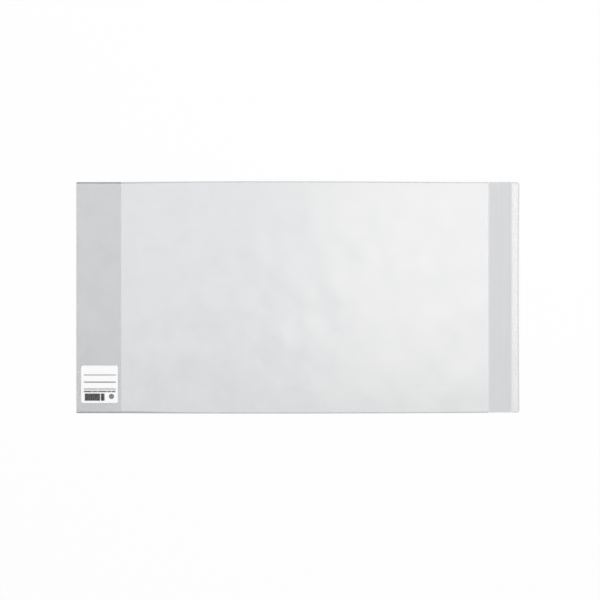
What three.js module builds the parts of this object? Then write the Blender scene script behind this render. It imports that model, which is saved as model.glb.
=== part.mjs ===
// A clear film jacket for a book, lying open and flat with its inside face up.
// X runs from the pocket's fold to the free end, Y up the page and Z away from the table.
// The origin is under the middle of the open jacket. All sizes are in millimetres.

import * as THREE from "three";

// Film. Its height is measured between the two melted edge beads.
const filmThickness = 0.11;
const filmHeight = 280;

// Widths of the film's zones, from the pocket's fold to the bead at the free end
const frontWidth = 210;
const spineWidth = 20;
const backWidth = 210;
const tailWidth = 99;

// Heights of the fold lines' axes over the table. The tail folds round a cover board.
const spineFoldHeight = 0.8;
const tailFoldHeight = 1.6;

// Melted bead along every cut edge
const beadWidth = 1;
const beadHeight = 0.45;

// Pocket at the left end: the film turned in, and welded through both layers at top and bottom
const pocketDepth = 54.6;
const pocketGap = 0.3;
const weldWidth = 2;
const weldCrown = 0.18;

// Rounded corners of the film at the free end
const topCornerRadius = 2.6;
const bottomCornerRadius = 1.6;

// Adhesive strip across the tail, and the liner that covers it and is a little wider
const adhesiveWidth = 26.7;
const adhesiveThickness = 0.1;
const linerOverhang = 1.2;
const linerThickness = 0.08;
const linerFromFilmEnd = 8.2;

// Name label on the pocket
const labelWidth = 44.6;
const labelHeight = 45.5;
const labelThickness = 0.1;
const labelCornerRadius = 2;
const labelFromFold = 6.1;
const labelFromFilmBottom = 11.8;

// Number of flats on a rounded crown, on a corner and round the pocket's fold
const crownSteps = 8;
const cornerSteps = 6;
const foldSteps = 10;

// Sizes that follow from these
const filmTop = filmHeight / 2;
const filmBottom = -filmTop;
const pocketHeight = 2 * filmThickness + pocketGap;
const foldOuterRadius = pocketHeight / 2;
const foldInnerRadius = pocketGap / 2;
const pocketTop = filmTop + beadWidth - weldWidth;
const pocketBottom = -pocketTop;
const linerWidth = adhesiveWidth + 2 * linerOverhang;
const linerRight = tailWidth - linerFromFilmEnd;
const linerLeft = linerRight - linerWidth;
const overallWidth = frontWidth + spineWidth + backWidth + tailWidth + beadWidth;

const film = { color: 0xdfe1e4, roughness: 0.22, opacity: 0.4 };
const weldedFilm = { color: 0xb9bbbe, roughness: 0.3, opacity: 0.7 };
const adhesive = { color: 0xe4e3dc, roughness: 0.35, opacity: 0.5 };
const liner = { color: 0xd4d6d9, roughness: 0.5, opacity: 0.6 };
const labelPaper = { color: 0xfdfdfc, roughness: 0.8, opacity: 1 };

// Adds a named piece to a zone of the jacket.
function addPiece(zone, name, geometry, finish) {
  const material = new THREE.MeshStandardMaterial({
    ...finish,
    metalness: 0,
    transparent: finish.opacity < 1,
  });
  const mesh = new THREE.Mesh(geometry, material);
  mesh.name = name;
  zone.add(mesh);
}

// A zone that turns about a fold line along Y. What is in the zone is placed from the fold line
// along X and from the table along Z, as it lies at rest.
function addZone(neighbour, foldX, foldHeight) {
  const fold = new THREE.Group();
  fold.position.set(foldX, 0, foldHeight);
  const zone = new THREE.Group();
  zone.position.z = -foldHeight;
  fold.add(zone);
  neighbour.add(fold);
  return zone;
}

// A flat sheet with the given outline, lying with its underside at the given height.
function sheet(outline, underside, thickness) {
  const geometry = new THREE.ExtrudeGeometry(new THREE.Shape(outline), {
    depth: thickness,
    bevelEnabled: false,
  });
  return geometry.translate(0, 0, underside);
}

// The corners of an upright rectangle, in order round it.
function rectangle(left, right, bottom, top) {
  return [
    new THREE.Vector2(left, bottom),
    new THREE.Vector2(right, bottom),
    new THREE.Vector2(right, top),
    new THREE.Vector2(left, top),
  ];
}

// Points on a quarter circle that turns to the left, from the direction given in quarter turns.
function quarterCircle(centreX, centreY, radius, firstQuarter) {
  const points = [];
  for (let step = 0; step <= cornerSteps; step += 1) {
    const angle = (firstQuarter + step / cornerSteps) * (Math.PI / 2);
    const outward = new THREE.Vector2(Math.cos(angle), Math.sin(angle));
    const point = new THREE.Vector2(centreX, centreY).addScaledVector(outward, radius);
    points.push({ point, outward });
  }
  return points;
}

// Cross-section of melted film beside an edge: upright where it meets the film, flat on the
// table, and rounded above the height of the layers it joins. Points are (distance out, height).
function beadSection(width, joined, crown) {
  const section = [new THREE.Vector2(0, 0), new THREE.Vector2(width, 0)];
  for (let step = 0; step <= crownSteps; step += 1) {
    const angle = (step / crownSteps) * Math.PI;
    const out = (width / 2) * (1 + Math.cos(angle));
    section.push(new THREE.Vector2(out, joined + crown * Math.sin(angle)));
  }
  return section;
}

// A solid that carries a cross-section past a row of stations, with a flat face at each end.
// A station is a point on the film's edge with its direction outward, and the stations run
// with the film on their left.
function carried(section, stations) {
  const count = section.length;
  const positions = [];
  for (const { point, outward } of stations) {
    for (const corner of section) {
      const place = point.clone().addScaledVector(outward, corner.x);
      positions.push(place.x, place.y, corner.y);
    }
  }
  const triangles = [];
  for (let ring = 0; ring + 1 < stations.length; ring += 1) {
    for (let side = 0; side < count; side += 1) {
      const here = ring * count + side;
      const beside = ring * count + ((side + 1) % count);
      triangles.push(here, beside + count, beside, here, here + count, beside + count);
    }
  }
  const lastRing = (stations.length - 1) * count;
  for (let side = 1; side + 1 < count; side += 1) {
    triangles.push(0, side, side + 1);
    triangles.push(lastRing, lastRing + side + 1, lastRing + side);
  }
  const geometry = new THREE.BufferGeometry();
  geometry.setAttribute("position", new THREE.Float32BufferAttribute(positions, 3));
  geometry.setIndex(triangles);
  geometry.computeVertexNormals();
  return geometry;
}

// Two stations of a straight edge. The bottom edge runs right and the top edge runs left.
function bottomEdge(left, right, height) {
  const outward = new THREE.Vector2(0, -1);
  return [
    { point: new THREE.Vector2(left, height), outward },
    { point: new THREE.Vector2(right, height), outward },
  ];
}

function topEdge(left, right, height) {
  const outward = new THREE.Vector2(0, 1);
  return [
    { point: new THREE.Vector2(right, height), outward },
    { point: new THREE.Vector2(left, height), outward },
  ];
}

const singleBead = beadSection(beadWidth, filmThickness, beadHeight - filmThickness);
const pocketBead = beadSection(weldWidth, pocketHeight, weldCrown);

// Beads along the top and bottom edges of one zone
function addEdgeBeads(zone, zoneName, left, right) {
  const top = carried(singleBead, topEdge(left, right, filmTop));
  const bottom = carried(singleBead, bottomEdge(left, right, filmBottom));
  addPiece(zone, `${zoneName}_bead_top`, top, weldedFilm);
  addPiece(zone, `${zoneName}_bead_bottom`, bottom, weldedFilm);
}

const jacket = new THREE.Group();
const front = new THREE.Group();
front.position.x = -overallWidth / 2;
jacket.add(front);

// Front cover zone. Beside the pocket its edge gives way to the wider weld.
const frontOutline = [
  ...rectangle(foldOuterRadius, pocketDepth, pocketBottom, filmBottom).slice(0, 2),
  ...rectangle(pocketDepth, frontWidth, filmBottom, filmTop),
  new THREE.Vector2(pocketDepth, pocketTop),
  new THREE.Vector2(foldOuterRadius, pocketTop),
];
addPiece(front, "front_panel", sheet(frontOutline, 0, filmThickness), film);
addEdgeBeads(front, "front", pocketDepth, frontWidth);

// Pocket flap, which lies over the front panel and lifts a little from its joint with the fold
const flap = addZone(front, foldOuterRadius, pocketHeight);
const flapWidth = pocketDepth - foldOuterRadius;
const flapOutline = rectangle(0, flapWidth, pocketBottom, pocketTop);
const flapUnderside = filmThickness + pocketGap;
addPiece(flap, "pocket_flap", sheet(flapOutline, flapUnderside, filmThickness), film);

// Pocket fold: the film's half turn from the front panel up into the flap
const foldShape = new THREE.Shape();
foldShape.absarc(foldOuterRadius, foldOuterRadius, foldOuterRadius, Math.PI / 2, 1.5 * Math.PI);
foldShape.absarc(
  foldOuterRadius,
  foldOuterRadius,
  foldInnerRadius,
  1.5 * Math.PI,
  Math.PI / 2,
  true,
);
const foldGeometry = new THREE.ExtrudeGeometry(foldShape, {
  depth: pocketTop - pocketBottom,
  bevelEnabled: false,
  curveSegments: foldSteps,
});
foldGeometry.applyMatrix4(
  new THREE.Matrix4().makeBasis(
    new THREE.Vector3(1, 0, 0),
    new THREE.Vector3(0, 0, 1),
    new THREE.Vector3(0, -1, 0),
  ),
);
foldGeometry.translate(0, pocketTop, 0);
addPiece(front, "pocket_fold", foldGeometry, film);

// Welds through both layers, which close the pocket's ends and the ends of its fold
const weldTop = carried(pocketBead, topEdge(0, pocketDepth, pocketTop));
const weldBottom = carried(pocketBead, bottomEdge(0, pocketDepth, pocketBottom));
addPiece(front, "pocket_weld_top", weldTop, weldedFilm);
addPiece(front, "pocket_weld_bottom", weldBottom, weldedFilm);

// Name label, stuck on the flap
const labelOutline = [
  [labelWidth, 0, -1],
  [labelWidth, labelHeight, 0],
  [0, labelHeight, 1],
  [0, 0, 2],
].flatMap(([cornerX, cornerY, firstQuarter]) => {
  const inwardX = cornerX > 0 ? -labelCornerRadius : labelCornerRadius;
  const inwardY = cornerY > 0 ? -labelCornerRadius : labelCornerRadius;
  const centreX = labelFromFold - foldOuterRadius + cornerX + inwardX;
  const centreY = filmBottom + labelFromFilmBottom + cornerY + inwardY;
  const corner = quarterCircle(centreX, centreY, labelCornerRadius, firstQuarter);
  return corner.map(({ point }) => point);
});
addPiece(flap, "name_label", sheet(labelOutline, pocketHeight, labelThickness), labelPaper);

// Spine zone
const spine = addZone(front, frontWidth, spineFoldHeight);
const spineOutline = rectangle(0, spineWidth, filmBottom, filmTop);
addPiece(spine, "spine_panel", sheet(spineOutline, 0, filmThickness), film);
addEdgeBeads(spine, "spine", 0, spineWidth);

// Back cover zone
const back = addZone(spine, spineWidth, spineFoldHeight);
const backOutline = rectangle(0, backWidth, filmBottom, filmTop);
addPiece(back, "back_panel", sheet(backOutline, 0, filmThickness), film);
addEdgeBeads(back, "back", 0, backWidth);

// Tail, which turns in round the back cover's board. Its beads stop at the strip.
const tail = addZone(back, backWidth, tailFoldHeight);
const bottomCorner = quarterCircle(
  tailWidth - bottomCornerRadius,
  filmBottom + bottomCornerRadius,
  bottomCornerRadius,
  -1,
);
const topCorner = quarterCircle(
  tailWidth - topCornerRadius,
  filmTop - topCornerRadius,
  topCornerRadius,
  0,
);
const tailOutline = [
  new THREE.Vector2(0, filmBottom),
  ...bottomCorner.map(({ point }) => point),
  ...topCorner.map(({ point }) => point),
  new THREE.Vector2(0, filmTop),
];
addPiece(tail, "tail_panel", sheet(tailOutline, 0, filmThickness), film);
addEdgeBeads(tail, "tail", 0, linerLeft);

// Beads of the free end: round each corner, and up between the corners
const cornerStart = bottomEdge(linerRight, tailWidth, filmBottom)[0];
const cornerFinish = topEdge(linerRight, tailWidth, filmTop)[1];
const bottomCornerBead = carried(singleBead, [cornerStart, ...bottomCorner]);
const topCornerBead = carried(singleBead, [...topCorner, cornerFinish]);
const endBead = carried(singleBead, [bottomCorner.at(-1), topCorner[0]]);
addPiece(tail, "tail_corner_bead_bottom", bottomCornerBead, weldedFilm);
addPiece(tail, "tail_corner_bead_top", topCornerBead, weldedFilm);
addPiece(tail, "tail_end_bead", endBead, weldedFilm);

// Adhesive strip, as long as the film is high
const adhesiveOutline = rectangle(
  linerLeft + linerOverhang,
  linerRight - linerOverhang,
  filmBottom,
  filmTop,
);
const stripGeometry = sheet(adhesiveOutline, filmThickness, adhesiveThickness);
addPiece(tail, "adhesive_strip", stripGeometry, adhesive);

// Release liner, which comes off along the strip
const release = new THREE.Group();
tail.add(release);
const linerOutline = rectangle(linerLeft, linerRight, filmBottom, filmTop);
const linerGeometry = sheet(linerOutline, filmThickness + adhesiveThickness, linerThickness);
addPiece(release, "release_liner", linerGeometry, liner);

export default jacket;
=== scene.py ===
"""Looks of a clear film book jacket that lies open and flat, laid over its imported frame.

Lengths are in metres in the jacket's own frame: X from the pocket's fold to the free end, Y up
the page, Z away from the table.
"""

import bpy
import numpy as np
from bpy.props import FloatProperty, FloatVectorProperty, IntProperty, PointerProperty
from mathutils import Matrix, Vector


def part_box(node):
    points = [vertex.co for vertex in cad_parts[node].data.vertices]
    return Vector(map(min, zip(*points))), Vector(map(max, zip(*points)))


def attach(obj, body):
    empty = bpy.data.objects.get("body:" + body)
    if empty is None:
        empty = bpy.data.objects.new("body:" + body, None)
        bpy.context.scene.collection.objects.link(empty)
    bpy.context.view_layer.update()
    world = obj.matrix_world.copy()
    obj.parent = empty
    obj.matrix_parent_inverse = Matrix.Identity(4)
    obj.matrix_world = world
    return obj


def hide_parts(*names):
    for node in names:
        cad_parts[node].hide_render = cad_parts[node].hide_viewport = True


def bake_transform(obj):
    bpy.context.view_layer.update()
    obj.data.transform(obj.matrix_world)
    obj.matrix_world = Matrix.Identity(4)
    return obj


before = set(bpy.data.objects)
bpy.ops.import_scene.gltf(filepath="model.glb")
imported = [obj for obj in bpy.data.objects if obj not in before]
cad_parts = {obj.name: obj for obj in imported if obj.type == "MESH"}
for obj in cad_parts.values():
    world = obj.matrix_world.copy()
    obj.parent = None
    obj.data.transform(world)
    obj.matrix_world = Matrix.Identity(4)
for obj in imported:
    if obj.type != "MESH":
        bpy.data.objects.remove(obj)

bl_info = {
    "name": "Clear Book Jacket",
    "version": (1, 0, 0),
    "blender": (4, 5, 0),
    "location": "View3D > Sidebar > Jacket",
    "description": "Film, pocket, label and closing strip of a clear book jacket",
    "category": "Object",
}

MM = 0.001


def corners(node):
    """Lowest and highest corner of a node at rest, as two plain arrays."""
    low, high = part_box(node)
    return np.array(low), np.array(high)


# Places that the frame gives
FRONT_LOW, FRONT_HIGH = corners("front_panel")
FLAP_LOW, FLAP_HIGH = corners("pocket_flap")
SPINE_LOW, SPINE_HIGH = corners("spine_panel")
BACK_LOW, BACK_HIGH = corners("back_panel")
TAIL_LOW = corners("tail_panel")[0]
STRIP_LOW, STRIP_HIGH = corners("adhesive_strip")
LINER_LOW, LINER_HIGH = corners("release_liner")
LABEL_LOW, LABEL_HIGH = corners("name_label")
BEAD_LOW, BEAD_HIGH = corners("front_bead_top")
END_LOW, END_HIGH = corners("tail_end_bead")
FILM = FRONT_HIGH[2] - FRONT_LOW[2]
BEAD_WIDTH = BEAD_HIGH[1] - BEAD_LOW[1]
LEFT_END = corners("pocket_fold")[0][0]
RIGHT_END = END_HIGH[0]
OUTER_HALF = BEAD_HIGH[1]
SPINE_MIDDLE = (SPINE_LOW[0] + SPINE_HIGH[0]) / 2
BACK_MIDDLE = (BACK_LOW[0] + BACK_HIGH[0]) / 2
CORNER_TOP = OUTER_HALF - END_HIGH[1]
CORNER_BOTTOM = OUTER_HALF + END_LOW[1]
WELD_INSIDE = FLAP_HIGH[1]

# Width of a melted edge in shares of the bead's own width: everywhere, added next to the pocket
# along the top and along the bottom, and added past the strip. What the pocket adds goes over
# the taper's length.
BEAD_EVERYWHERE = 1.1
BEAD_AT_POCKET_TOP = 0.7
BEAD_AT_POCKET_BOTTOM = 1.3
BEAD_PAST_STRIP = 0.5
BEAD_TAPER = 100 * MM

# Low waves of the film: seed, number, shortest and longest length, and the gain that brings
# their sum to about -1 to 1
WAVE_SEED = 11
WAVE_COUNT = 16
WAVE_LENGTHS = (25 * MM, 90 * MM)
WAVE_GAIN = 2.2

# How the film lies: the share of its height that it keeps at the pocket, the way over which it
# rises from there, and the length of the free end that curls
POCKET_SHARE = 0.12
POCKET_RISE = 40 * MM
CURL_LENGTH = 70 * MM

# The film's grid: its spacing along the jacket, its places from edge to edge, and the hair's
# breadth from a step in an edge to the places beside it
STEP = 6 * MM
FILM_ROWS = 57
HAIR = 0.01 * MM
# Places along and across the flap's middle, its ends, the label and the strip's two layers
FLAP_COLUMNS, FLAP_ROWS, FLAP_END_ROWS = 23, 61, 13
LABEL_COLUMNS, LABEL_ROWS = 19, 25
STRIP_COLUMNS, STRIP_ROWS = 12, 73
# Angle from which a mesh's edge is sharp
SHARP_ANGLE = np.radians(35)

# The pocket: the stretch beside each weld over which the flap begins to lift, the same beside
# the fold, and the radius of the jacket's corners there
FLAP_ENDS = 9.6 * MM
POCKET_CORNER = 1.7 * MM

# How far the film's cut edge is past the beads' outer side, at the strip's upper end
PAST_BEADS = 0.2 * MM


class JacketSizes(bpy.types.PropertyGroup):
    """Sizes that only the looks need. The frame gives the rest."""

    top_bow: FloatProperty(
        name="Top bow",
        description="How far the top edge stands out at its fullest place",
        default=0.67 * MM,
        unit="LENGTH",
    )
    bottom_bow: FloatProperty(
        name="Bottom bow",
        description="How far the bottom edge stands out at its fullest place",
        default=0.1 * MM,
        unit="LENGTH",
    )
    bow_place: FloatProperty(
        name="Place of the bows",
        description="Where along the jacket both edges stand out most",
        default=-45 * MM,
        unit="LENGTH",
    )
    arch: FloatProperty(
        name="Arch",
        description="How far the middle of the film stands off the table beside its waves",
        default=0.37 * MM,
        unit="LENGTH",
    )
    swell: FloatProperty(
        name="Swell",
        description="Half the height of the low waves in the film as it lies",
        default=0.34 * MM,
        unit="LENGTH",
    )
    curl: FloatProperty(
        name="Corner curl",
        description="How far the corners of the free end stand off the table",
        default=1.4 * MM,
        unit="LENGTH",
    )
    gape: FloatProperty(
        name="Pocket gape",
        description="How far the middle of the flap's free edge stands off the film at rest",
        default=0.3 * MM,
        unit="LENGTH",
    )
    pinch: FloatProperty(
        name="Pinch at the strip",
        description="How much lower the bottom edge is where the strip crosses it",
        default=0.2 * MM,
        unit="LENGTH",
    )
    rule_height: FloatProperty(
        name="Ruled line",
        description="Thickness of the label's lower ruled line",
        default=1.1 * MM,
        unit="LENGTH",
    )
    bar_count: IntProperty(
        name="Bars",
        description="Number of plain bars in the label's bar block",
        default=27,
        min=2,
    )


class JacketColours(bpy.types.PropertyGroup):
    """Colours of the jacket's own materials and of the stage."""

    film: FloatVectorProperty(
        name="Film",
        description="Haze of the clear film",
        default=(0.46, 0.475, 0.505),
        subtype="COLOR",
        min=0.0,
        max=1.0,
    )
    weld: FloatVectorProperty(
        name="Weld",
        description="Film that was melted at an edge",
        default=(0.3, 0.31, 0.325),
        subtype="COLOR",
        min=0.0,
        max=1.0,
    )
    adhesive: FloatVectorProperty(
        name="Adhesive",
        description="Clear adhesive with a faint yellow cast",
        default=(0.57, 0.57, 0.555),
        subtype="COLOR",
        min=0.0,
        max=1.0,
    )
    liner: FloatVectorProperty(
        name="Liner",
        description="Translucent release paper",
        default=(0.78, 0.793, 0.82),
        subtype="COLOR",
        min=0.0,
        max=1.0,
    )
    label: FloatVectorProperty(
        name="Label paper",
        description="Coated white paper",
        default=(0.975, 0.98, 0.99),
        subtype="COLOR",
        min=0.0,
        max=1.0,
    )
    ink: FloatVectorProperty(
        name="Ink",
        description="Dark ink of the label's marks",
        default=(0.012, 0.012, 0.014),
        subtype="COLOR",
        min=0.0,
        max=1.0,
    )
    floor: FloatVectorProperty(
        name="Table",
        description="White table under the jacket",
        default=(0.92, 0.92, 0.92),
        subtype="COLOR",
        min=0.0,
        max=1.0,
    )


def sizes():
    """The sizes as the panel holds them."""
    return bpy.context.scene.jacket_sizes


def colours():
    """The colours as the panel holds them."""
    return bpy.context.scene.jacket_colours


# Shape of the film as it lies


def smooth(value):
    """0 below 0, 1 above 1, and a smooth step between them."""
    t = np.clip(value, 0.0, 1.0)
    return t * t * (3 - 2 * t)


def bowed(x, bow, reaches, leasts):
    """How far an edge stands out at x: the bow at its fullest place, less 1 mm times the square
    of the way from there over the reach, and never under the least. There's one reach and one
    least towards the pocket and one towards the free end."""
    way = x - sizes().bow_place
    before = way < 0
    reach = np.where(before, *reaches)
    return np.maximum(bow - MM * (way / reach) ** 2, np.where(before, *leasts))


def top_edge(x):
    """Outer top edge of the jacket."""
    reaches, leasts = (170 * MM, 235 * MM), (-0.25 * MM, -0.4 * MM)
    return OUTER_HALF + bowed(x, sizes().top_bow, reaches, leasts)


def bottom_edge(x):
    """Outer bottom edge of the jacket, which draws in further towards the free end."""
    reaches, leasts = (268 * MM, 274 * MM), (-0.4 * MM, -1.25 * MM)
    return -OUTER_HALF - bowed(x, sizes().bottom_bow, reaches, leasts)


def bead_width(x, at_pocket=BEAD_AT_POCKET_TOP):
    """Width of the melted edge: broad next to the pocket, narrow along the covers and broad
    again past the strip."""
    near_pocket = 1 - smooth((x - FLAP_HIGH[0]) / BEAD_TAPER)
    past_strip = (x > LINER_HIGH[0]).astype(float)
    shares = BEAD_EVERYWHERE + at_pocket * near_pocket + BEAD_PAST_STRIP * past_strip
    return BEAD_WIDTH * shares


def bottom_bead_width(x):
    """The same along the bottom edge, where more film has melted next to the pocket."""
    return bead_width(x, BEAD_AT_POCKET_BOTTOM)


def end_width():
    """Width of the melted edge at the free end."""
    return bead_width(np.array([RIGHT_END]))[0]


def fallen(way, radius):
    """How far a quarter circle has fallen off after a way along its radius."""
    return radius - np.sqrt(radius**2 - np.clip(way, 0, radius) ** 2)


def waves(x, y):
    """Low waves of the film: a sum of sines of seeded lengths, directions and phases, each with
    the same slope, so that the long ones are the high ones. About -1 to 1."""
    random = np.random.default_rng(WAVE_SEED)
    total, most = 0 * x + 0 * y, 0.0
    for _ in range(WAVE_COUNT):
        length = random.uniform(*WAVE_LENGTHS)
        turn, phase = random.uniform(0, 2 * np.pi, 2)
        along = (x * np.cos(turn) + y * np.sin(turn)) / length
        total = total + length * np.sin(2 * np.pi * along + phase)
        most += length
    return WAVE_GAIN * total / most


def lie(x, y):
    """Height of the film's underside over the table: an arch with low waves on it, which falls
    to the table with the fourth power of the way to the top or bottom edge and is lower at the
    pocket, and a curl that grows towards the free end's corners."""
    across = np.clip(np.abs(y) / (OUTER_HALF - BEAD_WIDTH), 0, 1)
    height = sizes().arch + sizes().swell * (1 + waves(x, y))
    past_pocket = smooth((x - FLAP_HIGH[0]) / POCKET_RISE)
    share = POCKET_SHARE + (1 - POCKET_SHARE) * past_pocket
    to_end = smooth((x - (RIGHT_END - CURL_LENGTH)) / CURL_LENGTH) ** 2
    return height * share * (1 - across**4) + sizes().curl * to_end * across**3


def stations(start, end, fold):
    """Places from start to end about a step apart, and 25 more across the bend at the fold,
    with none nearer than 0.05 mm to the one before it."""
    place, reach = fold[:2]
    even = np.linspace(start, end, int(round((end - start) / STEP)) + 1)
    near = np.linspace(place - 1.5 * reach, place + 1.5 * reach, 25)
    joined = np.unique(np.concatenate([even, near[(near > start) & (near < end)]]))
    joined = joined[np.append(True, np.diff(joined) > 0.05 * MM)]
    joined[-1] = end
    return joined


def stepped(xs, edge):
    """Stations for a step in the film's edge: none within 1 mm of it but the two that are a
    hair's breadth before and after it."""
    kept = xs[np.abs(xs - edge) > 1 * MM]
    return np.sort(np.append(kept, edge + np.array([-HAIR, HAIR])))


# Mesh makers


def solid(name, points, faces, bare=None):
    """A new object with this mesh, smooth except at its sharp edges. The optional value per
    point is kept as the attribute bare."""
    mesh = bpy.data.meshes.new(name)
    mesh.from_pydata(points.tolist(), [], faces)
    mesh.validate()
    mesh.shade_smooth()
    mesh.set_sharp_from_angle(angle=SHARP_ANGLE)
    if bare is not None:
        attribute = mesh.attributes.new("bare", "FLOAT", "POINT")
        attribute.data.foreach_set("value", bare.astype(np.float32).ravel())
    mesh.update()
    made = bpy.data.objects.new(name, mesh)
    bpy.context.scene.collection.objects.link(made)
    return made


def rim_quads(lower, upper):
    """Quads between two matching closed rows of point numbers, facing away from the row's left
    side."""
    return np.stack([lower, np.roll(lower, -1), np.roll(upper, -1), upper], -1)


def slab(x, y, bottom, top):
    """Points and quads of a thin closed solid between two heights over one grid of x and y. Its
    upper face is the grid at the top height, its lower face the same grid at the bottom height,
    and a rim joins their borders."""
    rows, columns = x.shape
    upper = np.stack([x, y, top], -1).reshape(-1, 3)
    lower = np.stack([x, y, bottom], -1).reshape(-1, 3)
    index = np.arange(rows * columns).reshape(rows, columns)
    quads = np.stack([index[:-1, :-1], index[1:, :-1], index[1:, 1:], index[:-1, 1:]], -1)
    quads = quads.reshape(-1, 4)
    border = np.concatenate([index[:, 0], index[-1, 1:], index[-2::-1, -1], index[0, -2:0:-1]])
    under = rows * columns
    faces = np.concatenate([quads, quads[:, ::-1] + under, rim_quads(border + under, border)])
    return np.concatenate([upper, lower]), faces


def closed_sheet(name, x, y, bottom, top, bare=None):
    """An object of one slab. The optional value per place of its grid goes on both faces."""
    points, faces = slab(x, y, bottom, top)
    both = None if bare is None else np.concatenate([bare.ravel(), bare.ravel()])
    return solid(name, points, faces.tolist(), both)


def carried(name, path, outward, section, widths=1.0):
    """A closed solid that carries a cross-section along a path. A point of it is the path's
    point plus its outward direction times the section's first number plus Z times its second.
    The direction is scaled by the width there. A fan round the section's middle closes each
    end."""
    count, sides = len(path), len(section)
    up = np.array([0.0, 0.0, 1.0])
    out = np.column_stack([outward * np.reshape(widths, (-1, 1)), np.zeros(count)])
    rings = path[:, None] + out[:, None] * section[None, :, :1] + up * section[None, :, 1:]
    points = rings.reshape(-1, 3)
    index = np.arange(count * sides).reshape(count, sides)
    beside = np.roll(index, -1, axis=1)
    quads = np.stack([index[:-1], index[1:], beside[1:], beside[:-1]], -1).reshape(-1, 4)
    middles = np.stack([rings[0].mean(0), rings[-1].mean(0)])
    first, last = count * sides, count * sides + 1
    start_fan = [[first, a, b] for a, b in zip(index[0], beside[0])]
    end_fan = [[last, b, a] for a, b in zip(index[-1], beside[-1])]
    faces = quads.tolist() + start_fan + end_fan
    return solid(name, np.concatenate([points, middles]), faces)


def bead_section(shoulder, crown):
    """Cross-section of melted film, one unit wide: flat below, upright to the shoulder beside
    the film, and a half ellipse above it up to the crown. Points are (outward, height)."""
    angle = np.linspace(0, np.pi, 13)
    arch = np.column_stack(
        [(1 + np.cos(angle)) / 2, shoulder + (crown - shoulder) * np.sin(angle)]
    )
    return np.concatenate([[[0, 0], [1, 0]], arch])


def weld_section(layers):
    """Cross-section of the pocket's weld, one unit wide: flat below, as high as the layers
    where it meets them, pressed down to a land, then a round bead at the outer edge. The bead
    is half of an ellipse that is 0.42 mm high, from half the land's height up."""
    land, slope_end, land_end, bead_start = 0.6 * layers, 0.12, 0.25, 0.3
    angle = np.linspace(0, np.pi, 11)
    half = (1 - bead_start) / 2
    outward = bead_start + half * (1 + np.cos(angle))
    bead = np.column_stack([outward, 0.5 * land + 0.42 * MM * np.sin(angle)])
    pressed = [[land_end, land], [slope_end, land], [0, layers]]
    return np.concatenate([[[0, 0], [1, 0]], bead, pressed])


# Materials

# Scales of the materials' patterns per metre
CLOUD_SCALE = 30.0
LINE_SCALE = 260.0
FILM_GRAIN = 2600.0
PAPER_GRAIN = 1900.0

# Share of the light that clear film mirrors where it's seen straight on
MIRRORED_STRAIGHT = 0.04
# Index at which the film's gloss, scaled by its alpha, is that of clear plastic
FILM_INDEX = 2.18
# How far the film's roughness goes up and down with its grain
SCUFF = 0.015
# Depths of the film's relief and of the paper's tooth
FILM_RELIEF = 0.02 * MM
PAPER_TOOTH = 0.01 * MM
# Share by which each colour goes up and down with its pattern
FILM_MOTTLE, PAPER_MOTTLE, INK_MOTTLE = 0.06, 0.015, 0.35
# Roughness: the least, and how much more there is at most
PAPER_ROUGHNESS = (0.52, 0.06)
INK_ROUGHNESS = (0.4, 0.2)
# Translucent paper: how its haze varies with its streaks, and how many times as much it varies
# from wetted to bare
STREAKS = 0.06
BARE_STEP = 4.0

# Finishes of the film by kind: its colour, its haze, its roughness and how much its haze varies.
# Rim is the bead of the free end, hem the beads of the bottom edge and seam the pocket's welds.
# The hem has more haze than the top beads, which darkens the bottom edge: painted shade.
FILM_FINISHES = {
    "film": ("film", 0.275, 0.215, 0.2),
    # The flap is the same film as the panels with less haze, a lighter copy: painted light on the
    # doubled film
    "flap": ("film", 0.13, 0.4, 0.12),
    "weld": ("weld", 0.37, 0.3, 0.2),
    "rim": ("weld", 0.27, 0.3, 0.2),
    "hem": ("weld", 0.56, 0.3, 0.2),
    "seam": ("weld", 0.7, 0.3, 0.2),
    "adhesive": ("adhesive", 0.01, 0.35, 0.2),
}
PAPER_HAZES = {"liner": 0.6, "label": 1.0}


def new_group(name, inputs, outputs):
    """A shader node group with these float inputs and their defaults, these float outputs, and
    its two end nodes."""
    tree = bpy.data.node_groups.new(name, "ShaderNodeTree")
    for label, default in inputs.items():
        socket = tree.interface.new_socket(label, in_out="INPUT", socket_type="NodeSocketFloat")
        socket.default_value = default
    for label in outputs:
        tree.interface.new_socket(label, in_out="OUTPUT", socket_type="NodeSocketFloat")
    return tree, tree.nodes.new("NodeGroupInput"), tree.nodes.new("NodeGroupOutput")


def math_node(tree, operation, *values):
    """The output of a Math node. Each value is a number or another node's output."""
    node = tree.nodes.new("ShaderNodeMath")
    node.operation = operation
    for socket, value in zip(node.inputs, values):
        if isinstance(value, (int, float)):
            socket.default_value = value
        else:
            tree.links.new(value, socket)
    return node.outputs[0]


def noise_node(tree, scale, detail, stretch=(1, 1, 1)):
    """Noise on Object coordinates in metres, at the scale that a node's output gives, with its
    grain stretched along an axis."""
    where = tree.nodes.new("ShaderNodeTexCoord")
    mapping = tree.nodes.new("ShaderNodeMapping")
    mapping.inputs["Scale"].default_value = stretch
    noise = tree.nodes.new("ShaderNodeTexNoise")
    noise.inputs["Detail"].default_value = detail
    tree.links.new(scale, noise.inputs["Scale"])
    tree.links.new(where.outputs["Object"], mapping.inputs["Vector"])
    tree.links.new(mapping.outputs[0], noise.inputs["Vector"])
    return noise.outputs["Fac"]


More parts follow.
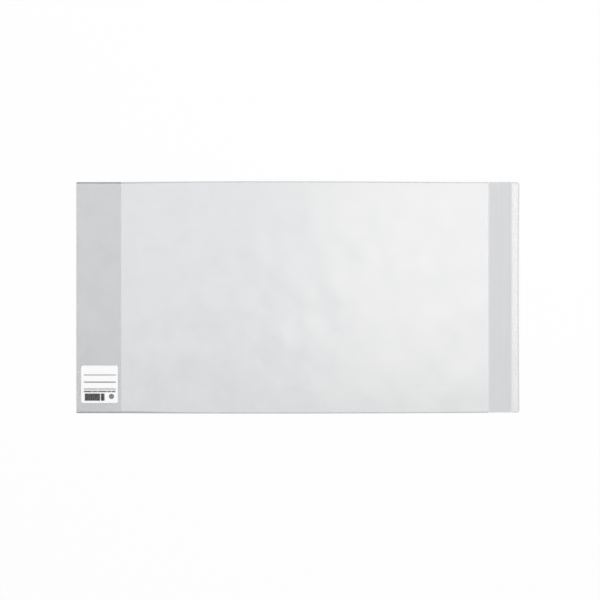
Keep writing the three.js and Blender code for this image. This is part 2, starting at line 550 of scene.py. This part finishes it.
def grain_group():
    """Cloud: broad soft patches. Grain: fine even speckle. Lines: faint streaks along Y, as
    drawn film has. Each runs from 0 to 1 about a half, and its input is its scale per metre."""
    if "jacket_grain" in bpy.data.node_groups:
        return bpy.data.node_groups["jacket_grain"]
    scales = {"Cloud Scale": CLOUD_SCALE, "Grain Scale": FILM_GRAIN, "Line Scale": LINE_SCALE}
    tree, given, out = new_group("jacket_grain", scales, ["Cloud", "Grain", "Lines"])
    cloud = noise_node(tree, given.outputs["Cloud Scale"], 4.0)
    grain = noise_node(tree, given.outputs["Grain Scale"], 2.0)
    lines = noise_node(tree, given.outputs["Line Scale"], 3.0, (1, 0.02, 1))
    for word, noise in (("Cloud", cloud), ("Grain", grain), ("Lines", lines)):
        tree.links.new(noise, out.inputs[word])
    return tree


def new_material(name, grain_scale):
    """A material with a Principled shader, and its grain group at that scale of grain."""
    made = bpy.data.materials.new(name)
    made.use_nodes = True
    tree = made.node_tree
    shader = tree.nodes["Principled BSDF"]
    grain = tree.nodes.new("ShaderNodeGroup")
    grain.node_tree = grain_group()
    grain.inputs["Grain Scale"].default_value = grain_scale
    return made, tree, shader, grain


def tinted(tree, shader, colour, value, spread):
    """Base Color as the colour, from darker to lighter by the spread as the value goes from 0
    to 1."""
    mix = tree.nodes.new("ShaderNodeMix")
    mix.data_type = "RGBA"
    mix.inputs["A"].default_value = (*[c * (1 - spread) for c in colour], 1)
    mix.inputs["B"].default_value = (*[min(1, c * (1 + spread)) for c in colour], 1)
    tree.links.new(value, mix.inputs["Factor"])
    tree.links.new(mix.outputs["Result"], shader.inputs["Base Color"])


def roughened(tree, shader, value, least, more):
    """Roughness from the least upwards, by as much more as the value goes from 0 to 1."""
    roughness = math_node(tree, "MULTIPLY_ADD", value, more, least)
    tree.links.new(roughness, shader.inputs["Roughness"])


def bumped(tree, shader, height, distance):
    """A bump of the given depth from a height between 0 and 1."""
    bump = tree.nodes.new("ShaderNodeBump")
    bump.inputs["Strength"].default_value = 1.0
    bump.inputs["Distance"].default_value = distance
    tree.links.new(height, bump.inputs["Height"])
    tree.links.new(bump.outputs[0], shader.inputs["Normal"])


def see_through(tree, shader, haze, varied, spread):
    """Alpha as the haze, less and more by the spread as the varied value goes from 0 to 1, and
    of the rest the share that a clear face mirrors: 4 percent straight on, and from there to
    all of it with the fifth power of how far the face is turned away. Both sides of a face do
    so alike."""
    level = math_node(tree, "MULTIPLY_ADD", varied, 2 * spread * haze, haze * (1 - spread))
    turned = tree.nodes.new("ShaderNodeLayerWeight")
    turned.inputs["Blend"].default_value = 0.5
    steep = math_node(tree, "POWER", turned.outputs["Facing"], 5.0)
    mirrored = math_node(tree, "MULTIPLY_ADD", steep, 1 - MIRRORED_STRAIGHT, MIRRORED_STRAIGHT)
    open_part = math_node(tree, "SUBTRACT", 1.0, level)
    added = math_node(tree, "MULTIPLY", open_part, mirrored)
    tree.links.new(math_node(tree, "ADD", level, added), shader.inputs["Alpha"])


def film_material(name, colour, haze, roughness, cloudy):
    """Clear film: hazy with a broad cloud, faint drawn lines and a fine grain in its gloss. The
    shader's gloss is scaled by its alpha, so its index is raised until the whole film reflects
    as much as clear plastic does."""
    made, tree, shader, grain = new_material(name, FILM_GRAIN)
    tinted(tree, shader, colour, grain.outputs["Cloud"], FILM_MOTTLE)
    roughened(tree, shader, grain.outputs["Grain"], roughness - SCUFF, 2 * SCUFF)
    see_through(tree, shader, haze, grain.outputs["Cloud"], cloudy)
    relief = math_node(tree, "ADD", grain.outputs["Lines"], grain.outputs["Cloud"])
    bumped(tree, shader, relief, FILM_RELIEF)
    shader.inputs["IOR"].default_value = FILM_INDEX
    return made


def paper_material(name, colour, haze):
    """Paper: a fine mottle in its colour and a slight tooth. Under a haze of 1 it lets light
    through, more so where the adhesive wets it than where the attribute bare is 1, and with
    faint streaks."""
    made, tree, shader, grain = new_material(name, PAPER_GRAIN)
    tinted(tree, shader, colour, grain.outputs["Grain"], PAPER_MOTTLE)
    roughened(tree, shader, grain.outputs["Grain"], *PAPER_ROUGHNESS)
    bumped(tree, shader, grain.outputs["Grain"], PAPER_TOOTH)
    if haze < 1:
        bare = tree.nodes.new("ShaderNodeAttribute")
        bare.attribute_name = "bare"
        lines = grain.outputs["Lines"]
        dense = math_node(tree, "MULTIPLY_ADD", bare.outputs["Fac"], BARE_STEP, lines)
        see_through(tree, shader, haze, dense, STREAKS)
    return made


def ink_material(name, colour):
    """Printed ink: dark, with the paper's tooth showing as a slight mottle."""
    made, tree, shader, grain = new_material(name, PAPER_GRAIN)
    tinted(tree, shader, colour, grain.outputs["Grain"], INK_MOTTLE)
    roughened(tree, shader, grain.outputs["Grain"], *INK_ROUGHNESS)
    return made


def material(kind):
    """The jacket's material of that kind, made the first time that it is asked for."""
    name = f"jacket_{kind}"
    if name in bpy.data.materials:
        return bpy.data.materials[name]
    if kind in FILM_FINISHES:
        colour, *finish = FILM_FINISHES[kind]
        return film_material(name, getattr(colours(), colour), *finish)
    if kind in PAPER_HAZES:
        return paper_material(name, getattr(colours(), kind), PAPER_HAZES[kind])
    return ink_material(name, colours().ink)


def dress(piece, kind, nodes):
    """Gives a piece its material and hides the nodes that it stands for."""
    piece.data.materials.append(material(kind))
    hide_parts(*nodes)
    return piece


# Folds: the place, the half width of the bend, and the two bodies
FRONT_FOLD = (SPINE_LOW[0], 2.0 * MM, "front", "spine")
BACK_FOLD = (BACK_LOW[0], 2.0 * MM, "spine", "back")
TAIL_FOLD = (TAIL_LOW[0], 3.2 * MM, "back", "tail")


def bend(piece):
    """Bakes a piece's place into its mesh."""
    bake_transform(piece)


def drawn_in(x, y):
    """Where a place near the free end lies once that end has drawn in: by 0.5 mm at its corners
    and 1.1 mm in its middle, over the stretch past the strip."""
    start, length = LINER_HIGH[0] + 1 * MM, RIGHT_END - LINER_HIGH[0] - 2 * MM
    at_corner, more_in_middle = 0.5 * MM, 0.6 * MM
    way = at_corner + more_in_middle * (1 - (y / OUTER_HALF) ** 2)
    return x - way * smooth((x - start) / length)


def film_zone(name, xs, nodes):
    """One stretch of film: the grid of its stations and of even shares from the bottom edge to
    the top edge, one film thick, on the height at which the film lies."""
    share = np.linspace(0, 1, FILM_ROWS)[None, :]
    low, high = film_bottom(xs)[:, None], film_top(xs)[:, None]
    y = low + (high - low) * share
    x = np.broadcast_to(xs[:, None], y.shape).copy()
    under = lie(x, y)
    piece = closed_sheet(name, drawn_in(x, y), y, under, under + FILM)
    bend(dress(piece, "film", nodes))


class JACKET_OT_film(bpy.types.Operator):
    """Add the film's three stretches, which meet in the middle of the spine and of the back"""

    bl_idname = "jacket.film"
    bl_label = "Film"

    def execute(self, context):
        xs = stepped(stations(FRONT_LOW[0], SPINE_MIDDLE, FRONT_FOLD), FLAP_HIGH[0])
        film_zone("film_front", xs, ["front_panel", "spine_panel"])
        xs = stations(SPINE_MIDDLE, BACK_MIDDLE, BACK_FOLD)
        film_zone("film_back", xs, ["spine_panel", "back_panel"])
        film_zone("film_tail", tail_stations(), ["back_panel", "tail_panel"])
        return {"FINISHED"}


def tail_stations():
    """Places along the tail, with steps at the strip's edges and close together over the last
    3 mm, where the end's corners are."""
    end, last = RIGHT_END - end_width(), 3 * MM
    xs = stations(BACK_MIDDLE, end - last, TAIL_FOLD)
    for edge in (LINER_LOW[0], LINER_HIGH[0]):
        xs = stepped(xs, edge)
    turn = end - last * (1 - np.sin(np.linspace(0, np.pi / 2, 12)))
    return np.unique(np.concatenate([xs, turn]))


def rounding(x, radius):
    """How far the end's rounded corner has drawn the film's edge in at x. The film's corner is
    the outline's corner less the bead."""
    inner, end = radius - end_width(), RIGHT_END - end_width()
    return fallen(x - (end - inner), inner)


def pinched(x):
    """True where the strip crosses the film."""
    return (x > LINER_LOW[0]) & (x < LINER_HIGH[0])


def film_top(x):
    """Top edge of the film: the weld's inner side at the pocket, its own cut edge at the strip,
    a little past the beads' outer side, and elsewhere the bead's inner side."""
    free = top_edge(x) - bead_width(x) - rounding(x, CORNER_TOP)
    free = np.where(pinched(x), top_edge(x) + PAST_BEADS, free)
    return np.where(x < FLAP_HIGH[0], WELD_INSIDE, free)


def film_bottom(x):
    """Bottom edge of the film, the same with its own corner, and pinched at the strip."""
    free = bottom_edge(x) + bottom_bead_width(x) + rounding(x, CORNER_BOTTOM)
    free = np.where(pinched(x), bottom_edge(x) + sizes().pinch, free)
    return np.where(x < FLAP_HIGH[0], -WELD_INSIDE, free)


def along_edge(name, xs, y, side, section, widths):
    """A section carried along the top (side 1) or bottom (side -1) edge on the height at which
    the film lies. The top one's path runs back, so that both have their faces outwards."""
    path = np.column_stack([xs, y, lie(xs, y)])
    outward = np.column_stack([0 * xs, 0 * xs + side])
    if side > 0:
        path, outward, widths = path[::-1], outward[::-1], widths[::-1]
    return carried(name, path, outward, section, widths)


def edge_bead(name, xs, edge, side, nodes):
    """A melted bead along the top (side 1) or bottom (side -1) edge over these stations."""
    widths = bead_width(xs) if side > 0 else bottom_bead_width(xs)
    y = edge(xs) - side * widths
    piece = along_edge(name, xs, y, side, bead_section(FILM, BEAD_HIGH[2]), widths)
    # The bottom beads take the hazier finish, a painted shade of the lower edge
    bend(dress(piece, "weld" if side > 0 else "hem", nodes))


class JACKET_OT_beads(bpy.types.Operator):
    """Add the melted beads along the cut edges, and round the corners of the free end"""

    bl_idname = "jacket.beads"
    bl_label = "Edge beads"

    def execute(self, context):
        runs = {
            "front": (FLAP_HIGH[0], SPINE_MIDDLE, FRONT_FOLD, ("front", "spine")),
            "back": (SPINE_MIDDLE, BACK_MIDDLE, BACK_FOLD, ("spine", "back")),
            "tail": (BACK_MIDDLE, LINER_LOW[0] - HAIR, TAIL_FOLD, ("back", "tail")),
        }
        for zone, (start, end, fold, covered) in runs.items():
            xs = stations(start, end, fold)
            for side, word, edge in ((1, "top", top_edge), (-1, "bottom", bottom_edge)):
                nodes = [f"{body}_bead_{word}" for body in covered]
                edge_bead(f"bead_{zone}_{word}", xs, edge, side, nodes)
        end_bead()
        return {"FINISHED"}


def end_bead():
    """The bead of the free end, in one run: along the bottom from the strip, round the corner,
    up the end, round the other corner and back along the top to the strip. Its corners are
    quarter circles with a little room before and after them, and it runs along the film's
    edge."""
    width = end_width()
    end, start = RIGHT_END - width, LINER_HIGH[0] + HAIR
    turn_low, turn_high = CORNER_BOTTOM - width, CORNER_TOP - width
    quarter = np.linspace(0, np.pi / 2, 9)
    low = film_bottom(np.array([end - turn_low]))[0]
    high = film_top(np.array([end - turn_high]))[0]
    along_room, upward_room = 0.2 * MM, 3 * MM
    along = np.linspace(start, end - turn_low - along_room, 5)
    upward = np.linspace(low + turn_low + upward_room, high - turn_high - upward_room, 48)
    back = np.linspace(end - turn_high - along_room, start, 5)

    def corner(x, y, radius, first):
        outward = np.column_stack([np.cos(quarter + first), np.sin(quarter + first)])
        return np.array([x, y]) + radius * outward, outward

    def straight(x, y, direction):
        points = np.column_stack(np.broadcast_arrays(x, y))
        return points, np.broadcast_to(direction, points.shape)

    runs = [
        straight(along, film_bottom(along), (0.0, -1.0)),
        corner(end - turn_low, low + turn_low, turn_low, -np.pi / 2),
        straight(end, upward, (1.0, 0.0)),
        corner(end - turn_high, high - turn_high, turn_high, 0),
        straight(back, film_top(back), (0.0, 1.0)),
    ]
    flat = np.concatenate([places for places, _ in runs])
    outward = np.concatenate([directions for _, directions in runs])
    x, y = flat.T
    path = np.column_stack([drawn_in(x, y), y, lie(x, y)])
    piece = carried("bead_end", path, outward, bead_section(FILM, BEAD_HIGH[2]), width)
    nodes = ["tail_corner_bead_top", "tail_corner_bead_bottom", "tail_end_bead"]
    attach(dress(piece, "rim", nodes), "tail")


def gap(x, y):
    """Gap between the pocket's layers: the fold's own gap, and a swell that grows with the
    power of 1.3 towards the flap's free edge and falls off with the fourth power of the way
    from its middle towards the welds."""
    to_free = np.clip((x - FLAP_LOW[0]) / (FLAP_HIGH[0] - FLAP_LOW[0]), 0, 1)
    to_weld = np.clip(np.abs(y) / FLAP_HIGH[1], 0, 1)
    return FLAP_LOW[2] - FILM + sizes().gape * to_free**1.3 * (1 - to_weld**4)


def flap_stretch(name, y_start, y_end, rows):
    """A stretch of the flap between two heights up the page, one film thick over the gap."""
    xs = np.linspace(FLAP_LOW[0], FLAP_HIGH[0], FLAP_COLUMNS)
    x, y = np.meshgrid(xs, np.linspace(y_start, y_end, rows), indexing="ij")
    under = lie(x, y) + FILM + gap(x, y)
    piece = closed_sheet(name, x, y, under, under + FILM)
    # The flap's film has less haze than the panel's, which lightens the doubled film: painted
    # light
    return dress(piece, "flap", ["pocket_flap"])


class JACKET_OT_pocket(bpy.types.Operator):
    """Add the pocket's fold, its flap and the welds at its two ends"""

    bl_idname = "jacket.pocket"
    bl_label = "Pocket"

    def execute(self, context):
        held = FLAP_HIGH[1]
        free = held - FLAP_ENDS
        piece = flap_stretch("pocket_flap_middle", -free, free, FLAP_ROWS)
        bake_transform(piece)
        for word, side in (("top", 1), ("bottom", -1)):
            ends = sorted((side * held, side * free))
            piece = flap_stretch(f"pocket_flap_{word}", *ends, FLAP_END_ROWS)
            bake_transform(piece)
        self.fold()
        self.welds()
        return {"FINISHED"}

    def fold(self):
        """The film's half turn at the left end: a half ring one film thick, carried up the
        page on the height at which the film lies."""
        radius = FLAP_HIGH[2] / 2
        angle = np.linspace(-np.pi / 2, -1.5 * np.pi, 13)
        ring = np.column_stack([np.cos(angle), np.sin(angle)])
        section = np.concatenate([radius * ring, (radius - FILM) * ring[::-1]])
        section = (section + [0, radius]) * [-1, 1]
        y = np.linspace(FLAP_HIGH[1], FLAP_LOW[1], FILM_ROWS)
        path = np.column_stack([0 * y + LEFT_END + radius, y, lie(0 * y + LEFT_END, y)])
        outward = np.column_stack([0 * y - 1, 0 * y])
        piece = carried("pocket_fold_film", path, outward, section)
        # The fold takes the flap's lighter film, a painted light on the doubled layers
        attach(dress(piece, "flap", ["pocket_fold"]), "front")

    def welds(self):
        """The two welds from the flap's ends to the jacket's edges, round its left corners."""
        start = LEFT_END + POCKET_CORNER
        turn = LEFT_END + POCKET_CORNER * (1 - np.cos(np.linspace(0, np.pi / 2, 8)))
        xs = np.concatenate([turn, np.linspace(start, FLAP_HIGH[0], 20)[1:]])
        section = weld_section(FLAP_HIGH[2])
        for word, side, edge in (("top", 1, top_edge), ("bottom", -1, bottom_edge)):
            y = np.full(len(xs), side * FLAP_HIGH[1])
            widths = side * edge(xs) - FLAP_HIGH[1] - fallen(start - xs, POCKET_CORNER)
            piece = along_edge(f"seam_{word}", xs, y, side, section, widths)
            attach(dress(piece, "seam", [f"pocket_weld_{word}"]), "front")


LABEL_CORNER = 2 * MM
LABEL_THICKNESS = LABEL_HIGH[2] - LABEL_LOW[2]


def on_flap(x, y):
    """Height of the flap's upper face."""
    return lie(x, y) + gap(x, y) + 2 * FILM


def label_plate():
    """The label's paper, which has round corners and follows the flap's upper face: columns
    across its width, each as long as the corner circles allow at that place."""
    low, high, radius = LABEL_LOW, LABEL_HIGH, LABEL_CORNER
    turn = radius * (1 - np.cos(np.linspace(0, np.pi / 2, 9)))
    first, last = low[0] + radius, high[0] - radius
    straight = np.linspace(first, last, LABEL_COLUMNS)
    xs = np.unique(np.concatenate([low[0] + turn, straight, high[0] - turn]))
    drawn = fallen(np.maximum(first - xs, xs - last), radius)
    share = np.linspace(0, 1, LABEL_ROWS)[None, :]
    y = (low[1] + drawn)[:, None] + (high[1] - low[1] - 2 * drawn)[:, None] * share
    x = np.broadcast_to(xs[:, None], y.shape).copy()
    under = on_flap(x, y)
    return closed_sheet("label_paper", x, y, under, under + LABEL_THICKNESS)


# The label's marks, in millimetres from its lower left corner
MARKS_LEFT, MARKS_RIGHT = 3.2, 42.2
# Ruled lines: height of each, and its share of the lower one's thickness
RULES = ((34.05, 0.75), (25.4, 1.0))
# Dots: pitch, width, height, and each row's start past the left side and its lower edge
DOT_PITCH, DOT_WIDTH, DOT_HEIGHT = 1.3, 0.9, 0.8
DOT_ROWS = ((0.0, 16.9), (0.4, 15.4))
# Dashes: left and right end of each, and their lower and upper edge
DASHES = ((3.2, 13.0), (13.7, 19.8), (20.5, 31.2), (31.9, 36.6), (37.2, 41.6))
DASH_LOW, DASH_HIGH = 13.1, 14.4
# Bars: sides of their block, their widths by turns in shares of their pitch, and the bar that
# is left out
BARS_LEFT, BARS_RIGHT, BARS_LOW, BARS_HIGH = 4.3, 28.4, 2.7, 11.5
BAR_SHARES = (0.93, 0.88, 0.97)
MISSING_BAR = 21
# Hatched spot: middle, radius and number of lines
SPOT = (36.8, 8.0, 3.2, 8)

# How far the ink's two faces are over the paper
INK_LOW, INK_HIGH = 0.005 * MM, 0.02 * MM


def inked(name, grids):
    """Thin ink on the label: one slab for each grid of x and y, which are in millimetres from
    the label's lower left corner, a hair over the paper as it lies."""
    points, faces, count = [], [], 0
    for x, y in grids:
        x, y = LABEL_LOW[0] + x * MM, LABEL_LOW[1] + y * MM
        paper = on_flap(x, y) + LABEL_THICKNESS
        some, quads = slab(x, y, paper + INK_LOW, paper + INK_HIGH)
        points.append(some)
        faces.append(quads + count)
        count += len(some)
    made = solid(name, np.concatenate(points), np.concatenate(faces).tolist())
    made.data.materials.append(material("ink"))
    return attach(made, "flap")


def patch(left, right, low, high):
    """The grid of a rectangle on the label, with a place at least every 2 mm."""
    xs = np.linspace(left, right, int((right - left) / 2) + 2)
    ys = np.linspace(low, high, int((high - low) / 2) + 2)
    return np.meshgrid(xs, ys, indexing="ij")


def hatched(x, y, radius, count):
    """The grids of a round spot of even level lines, each as long as the circle is wide at its
    middle, with gaps a third as high as a line."""
    pitch = 2 * radius / count
    middles = pitch * (np.arange(count) - (count - 1) / 2)
    halves = np.sqrt(radius**2 - middles**2)
    thin = 0.38 * pitch
    lines = zip(y + middles, halves)
    return [patch(x - half, x + half, line - thin, line + thin) for line, half in lines]


class JACKET_OT_label(bpy.types.Operator):
    """Add the name label and its plain marks: ruled lines, dots, dashes, bars and a spot"""

    bl_idname = "jacket.label"
    bl_label = "Label"

    def execute(self, context):
        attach(dress(label_plate(), "label", ["name_label"]), "flap")
        inked("label_rules", self.rules())
        inked("label_dots", self.dots())
        dashes = [patch(start, end, DASH_LOW, DASH_HIGH) for start, end in DASHES]
        inked("label_dashes", dashes)
        inked("label_bars", self.bars())
        inked("label_spot", hatched(*SPOT))
        return {"FINISHED"}

    def rules(self):
        """Ruled lines, each half above and half below its height."""
        half = sizes().rule_height / MM / 2
        return [
            patch(MARKS_LEFT, MARKS_RIGHT, y - share * half, y + share * half)
            for y, share in RULES
        ]

    def dots(self):
        """Rows of small dots at an even pitch."""
        places = np.arange(MARKS_LEFT, MARKS_RIGHT, DOT_PITCH)
        return [
            patch(x, x + DOT_WIDTH, low, low + DOT_HEIGHT)
            for start, low in DOT_ROWS
            for x in places + start
        ]

    def bars(self):
        """Plain bars at an even pitch, of three widths by turns, with one of them left out."""
        count = sizes().bar_count
        pitch = (BARS_RIGHT - BARS_LEFT) / count
        return [
            patch(BARS_LEFT + k * pitch, BARS_LEFT + (k + share) * pitch, BARS_LOW, BARS_HIGH)
            for k, share in enumerate(np.resize(BAR_SHARES, count))
            if k != MISSING_BAR
        ]


def strip_layer(name, low, high, level, kind, node):
    """One layer of the closing strip: a flat ribbon from one cut edge of the film to the other,
    over the film at its level, which follows the height at which the film lies. It's bare
    beside the adhesive, from one place to the next at the adhesive's edges."""
    edges = np.array([STRIP_LOW[0], STRIP_HIGH[0]])
    near = np.concatenate([edges - 2 * HAIR, edges + 2 * HAIR])
    near = near[(near > low[0]) & (near < high[0])]
    xs = np.unique(np.concatenate([np.linspace(low[0], high[0], STRIP_COLUMNS), near]))
    middle = np.array([edges.mean()])
    ys = np.linspace(film_bottom(middle)[0], film_top(middle)[0], STRIP_ROWS)
    x, y = np.meshgrid(xs, ys, indexing="ij")
    under = lie(x, y) + level
    bare = ((x < edges[0]) | (x > edges[1])).astype(float)
    piece = closed_sheet(name, x, y, under, under + high[2] - low[2], bare)
    return dress(piece, kind, [node])


class JACKET_OT_strip(bpy.types.Operator):
    """Add the adhesive strip and the release liner on it"""

    bl_idname = "jacket.strip"
    bl_label = "Closing strip"

    def execute(self, context):
        strip = strip_layer(
            "strip_adhesive", STRIP_LOW, STRIP_HIGH, FILM, "adhesive", "adhesive_strip"
        )
        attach(strip, "tail")
        liner = strip_layer(
            "strip_liner", LINER_LOW, LINER_HIGH, LINER_LOW[2], "liner", "release_liner"
        )
        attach(liner, "liner")
        return {"FINISHED"}


# Stage

# The view in pixels: its side, the jacket's width and the place of the jacket's middle
PHOTO_SIDE = 600
PHOTO_WIDTH_SPAN = 443.4
PHOTO_CENTRE = (298.0, 297.65)
# The camera's lens and sensor in millimetres
LENS, SENSOR = 85.0, 36.0

# The table: half its side, how far it's under the jacket, how thick it is, and the share of it
# that the camera sees as plain white
TABLE_HALF = 6.0
TABLE_UNDER = 0.05 * MM
TABLE_THICKNESS = 2 * MM
TABLE_WHITE = 0.9

WHITE = (1.0, 1.0, 1.0)
WORLD_STRENGTH = 0.49
# Lamps: name, place, width and height, power, colour, and the aim where it isn't straight down
LAMPS = (
    ("stage_roof", (0.15, 0.43, 2.0), (2.3, 1.14), 9.9, WHITE),
    ("stage_key", (0.675, 0.31, 2.01), (1.25, 1.34), 10.8, (1.0, 0.965, 0.92)),
    ("stage_back", (0.5, 1.9, 1.1), (2.4, 1.0), 12.2, WHITE, (0, 0, 0)),
    ("stage_fill", (-2.4, -1.6, 1.4), (1.2, 1.2), 14.0, WHITE, (0, 0, 0)),
)


def stage_floor():
    """The white table: a wide thin slab that the camera sees mostly as plain white and for the
    rest as it's lit, so that a share of the jacket's shadow stays."""
    grid = np.linspace(-TABLE_HALF, TABLE_HALF, 9)
    x, y = np.meshgrid(grid, grid, indexing="ij")
    top = np.full_like(x, -TABLE_UNDER)
    floor = closed_sheet("table", x, y, top - TABLE_THICKNESS, top)
    made = bpy.data.materials.new("stage_table")
    made.use_nodes = True
    tree = made.node_tree
    shader = tree.nodes["Principled BSDF"]
    shader.inputs["Base Color"].default_value = (*colours().floor, 1)
    shader.inputs["Roughness"].default_value = 0.9
    glow = tree.nodes.new("ShaderNodeEmission")
    glow.inputs["Strength"].default_value = 1.0
    path = tree.nodes.new("ShaderNodeLightPath")
    camera, gloss = path.outputs["Is Camera Ray"], path.outputs["Is Glossy Ray"]
    seen = math_node(tree, "MAXIMUM", camera, gloss)
    seen = math_node(tree, "MAXIMUM", seen, path.outputs["Is Transmission Ray"])
    share = math_node(tree, "MULTIPLY", seen, TABLE_WHITE)
    mix = tree.nodes.new("ShaderNodeMixShader")
    tree.links.new(share, mix.inputs["Fac"])
    tree.links.new(shader.outputs[0], mix.inputs[1])
    tree.links.new(glow.outputs[0], mix.inputs[2])
    tree.links.new(mix.outputs[0], tree.nodes["Material Output"].inputs["Surface"])
    floor.data.materials.append(made)


def stage_world():
    """An even soft light from all round, and plain white where the camera sees past the table."""
    world = bpy.data.worlds.new("stage_world")
    bpy.context.scene.world = world
    world.use_nodes = True
    tree = world.node_tree
    soft = tree.nodes["Background"]
    soft.inputs["Color"].default_value = (*WHITE, 1)
    soft.inputs["Strength"].default_value = WORLD_STRENGTH
    white = tree.nodes.new("ShaderNodeBackground")
    white.inputs["Color"].default_value = (*WHITE, 1)
    white.inputs["Strength"].default_value = 1.0
    path = tree.nodes.new("ShaderNodeLightPath")
    mix = tree.nodes.new("ShaderNodeMixShader")
    tree.links.new(path.outputs["Is Camera Ray"], mix.inputs["Fac"])
    tree.links.new(soft.outputs[0], mix.inputs[1])
    tree.links.new(white.outputs[0], mix.inputs[2])
    tree.links.new(mix.outputs[0], tree.nodes["World Output"].inputs["Surface"])


def stage_lamp(name, place, size, power, colour, aim=None):
    """A soft lamp at a place, with its width and height, that shines straight down or at its
    aim."""
    light = bpy.data.lights.new(name, "AREA")
    light.shape = "RECTANGLE"
    light.size, light.size_y = size
    light.energy = power
    light.color = colour
    lamp = bpy.data.objects.new(name, light)
    bpy.context.scene.collection.objects.link(lamp)
    lamp.location = place
    if aim is not None:
        turn = (Vector(aim) - Vector(place)).to_track_quat("-Z", "Y")
        lamp.rotation_euler = turn.to_euler()


def stage_camera():
    """A camera straight above, at the height where the jacket takes its width in the photo."""
    scale = (RIGHT_END - LEFT_END) / PHOTO_WIDTH_SPAN
    data = bpy.data.cameras.new("stage_camera")
    data.lens, data.sensor_width = LENS, SENSOR
    camera = bpy.data.objects.new("stage_camera", data)
    bpy.context.scene.collection.objects.link(camera)
    height = PHOTO_SIDE * scale * LENS / SENSOR
    off_x = (PHOTO_SIDE / 2 - PHOTO_CENTRE[0]) * scale
    off_y = (PHOTO_CENTRE[1] - PHOTO_SIDE / 2) * scale
    camera.location = (off_x, off_y, height)
    bpy.context.scene.camera = camera


class JACKET_OT_stage(bpy.types.Operator):
    """Add the white table, the soft light and the camera"""

    bl_idname = "jacket.stage"
    bl_label = "Stage"

    def execute(self, context):
        stage_floor()
        stage_world()
        for lamp in LAMPS:
            stage_lamp(*lamp)
        stage_camera()
        context.scene.view_settings.view_transform = "Standard"
        return {"FINISHED"}


class JACKET_PT_panel(bpy.types.Panel):
    """Sizes, colours and pieces of the jacket"""

    bl_idname = "JACKET_PT_panel"
    bl_label = "Book Jacket"
    bl_space_type = "VIEW_3D"
    bl_region_type = "UI"
    bl_category = "Jacket"

    def draw(self, context):
        for group in (context.scene.jacket_sizes, context.scene.jacket_colours):
            box = self.layout.box()
            for name in group.bl_rna.properties.keys():
                if name not in ("rna_type", "name"):
                    box.prop(group, name)
        for operator in OPERATORS:
            self.layout.operator(operator.bl_idname)


OPERATORS = (
    JACKET_OT_stage,
    JACKET_OT_film,
    JACKET_OT_beads,
    JACKET_OT_pocket,
    JACKET_OT_label,
    JACKET_OT_strip,
)
CLASSES = (JacketSizes, JacketColours, *OPERATORS, JACKET_PT_panel)


def register():
    """Adds the classes and the two groups of settings."""
    for each in CLASSES:
        bpy.utils.register_class(each)
    bpy.types.Scene.jacket_sizes = PointerProperty(type=JacketSizes)
    bpy.types.Scene.jacket_colours = PointerProperty(type=JacketColours)


def unregister():
    """Takes them away again."""
    del bpy.types.Scene.jacket_colours
    del bpy.types.Scene.jacket_sizes
    for each in reversed(CLASSES):
        bpy.utils.unregister_class(each)


def main():
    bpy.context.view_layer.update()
    register()
    bpy.ops.jacket.stage()
    bpy.ops.jacket.film()
    bpy.ops.jacket.beads()
    bpy.ops.jacket.pocket()
    bpy.ops.jacket.label()
    bpy.ops.jacket.strip()


if __name__ == "__main__":
    main()
